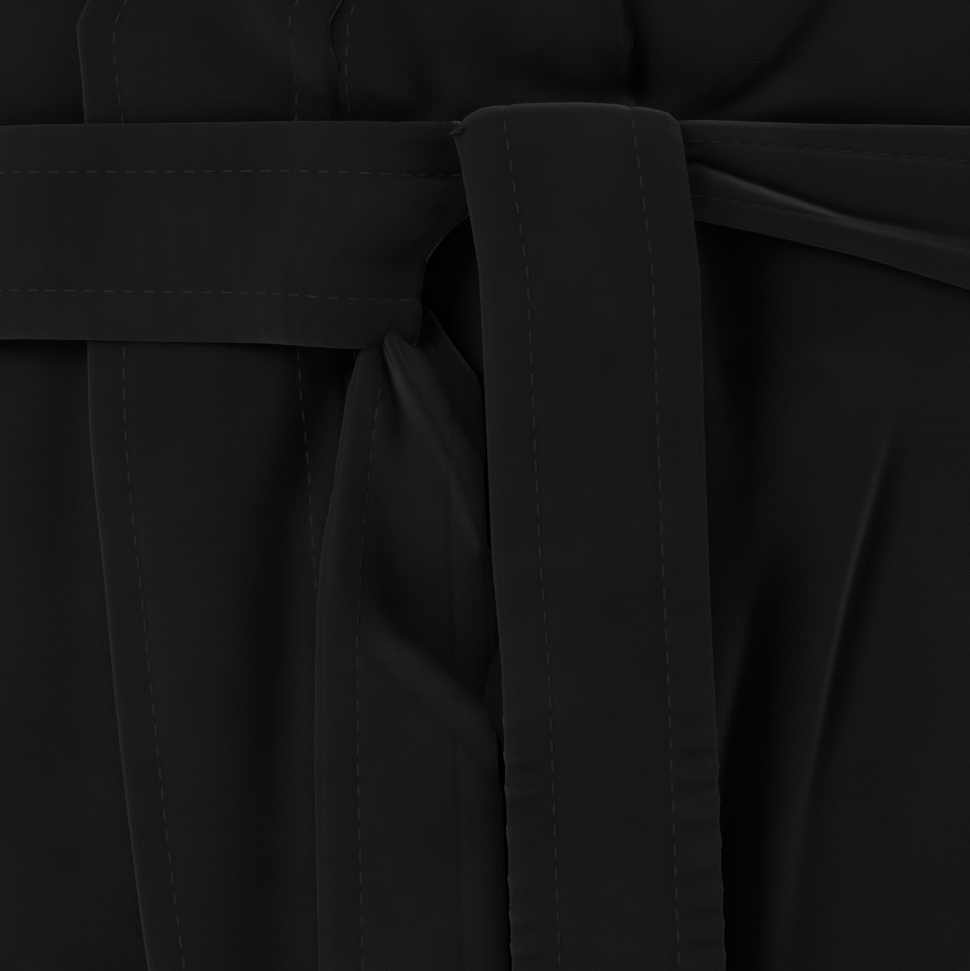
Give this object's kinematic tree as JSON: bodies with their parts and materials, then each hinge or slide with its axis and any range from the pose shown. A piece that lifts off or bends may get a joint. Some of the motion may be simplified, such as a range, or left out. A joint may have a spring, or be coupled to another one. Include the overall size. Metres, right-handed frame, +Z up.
{
  "type": "martial arts uniform",
  "caption": "Black wrap jacket, loose trousers and a stitched cloth belt tied at the front, shaped as worn by a standing wearer.",
  "frame": {"origin": "middle of the belt ring at the wearer's waist, on the belt's centre line", "axes": "+Z up along the wearer's spine, -Y the way the wearer faces, +X towards the wearer's left hand"},
  "size_m": [1.013, 0.2881, 1.4133],
  "materials": {
    "cloth": "matte woven cotton",
    "belt": "matte woven cotton, topstitched",
    "facing": "matte woven cotton, several plies",
    "tape": "matte cotton tape"
  },
  "bodies": {
    "torso": {"back_panel": "cloth", "left_front": "cloth", "right_front": "cloth", "left_collar_band": "facing", "right_collar_band": "facing", "left_vent_patch": "facing", "right_vent_patch": "facing", "right_tie": "tape", "belt_wrap": "belt", "belt_knot": "belt", "waistband": "facing", "left_seat": "cloth", "right_seat": "cloth", "crotch_gusset": "cloth", "left_hip": "cloth", "right_hip": "cloth"},
    "left_arm": {"left_upper_sleeve": "cloth"},
    "left_forearm": {"left_lower_sleeve": "cloth", "left_cuff_hem": "facing"},
    "left_upper_leg": {"left_thigh": "cloth"},
    "left_lower_leg": {"left_shin": "cloth", "left_leg_hem": "facing", "left_knee_patch": "cloth"},
    "right_arm": {"right_upper_sleeve": "cloth"},
    "right_forearm": {"right_lower_sleeve": "cloth", "right_cuff_hem": "facing"},
    "right_upper_leg": {"right_thigh": "cloth"},
    "right_lower_leg": {"right_shin": "cloth", "right_leg_hem": "facing", "right_knee_patch": "cloth"},
    "front_tail": {"belt_front_tail": "belt"},
    "back_tail": {"belt_back_tail": "belt"}
  },
  "joints": [
    {"name": "left_shoulder", "type": "hinge", "parent": "torso", "child": "left_arm", "pos_m": [0.22515, 0, 0.3954], "axis": [0, -1, 0], "range_deg": [0, 66]},
    {"name": "left_elbow", "type": "hinge", "parent": "left_arm", "child": "left_forearm", "pos_m": [0.3743, -0.0738, 0.03655], "axis": [-0.9135, 0, -0.4067], "range_deg": [0, 105]},
    {"name": "left_hip", "type": "hinge", "parent": "torso", "child": "left_upper_leg", "pos_m": [0.097, -0.094, -0.30015], "axis": [-1, 0, 0], "range_deg": [0, 65]},
    {"name": "left_knee", "type": "hinge", "parent": "left_upper_leg", "child": "left_lower_leg", "pos_m": [0.112, 0.0881, -0.56515], "axis": [1, 0, 0], "range_deg": [0, 100]},
    {"name": "right_shoulder", "type": "hinge", "parent": "torso", "child": "right_arm", "pos_m": [-0.22515, 0, 0.3954], "axis": [0, 1, 0], "range_deg": [0, 66]},
    {"name": "right_elbow", "type": "hinge", "parent": "right_arm", "child": "right_forearm", "pos_m": [-0.3743, -0.0738, 0.03655], "axis": [-0.9135, 0, 0.4067], "range_deg": [0, 105]},
    {"name": "right_hip", "type": "hinge", "parent": "torso", "child": "right_upper_leg", "pos_m": [-0.097, -0.094, -0.30015], "axis": [-1, 0, 0], "range_deg": [0, 65]},
    {"name": "right_knee", "type": "hinge", "parent": "right_upper_leg", "child": "right_lower_leg", "pos_m": [-0.112, 0.0881, -0.56515], "axis": [1, 0, 0], "range_deg": [0, 100]},
    {"name": "front_tail_swing", "type": "hinge", "parent": "torso", "child": "front_tail", "pos_m": [0.021, -0.1435, -0.0218], "axis": [-1, 0, 0], "range_deg": [0, 60]},
    {"name": "back_tail_swing", "type": "hinge", "parent": "torso", "child": "back_tail", "pos_m": [-0.016, -0.1374, -0.0218], "axis": [-1, 0, 0], "range_deg": [0, 60]}
  ]
}
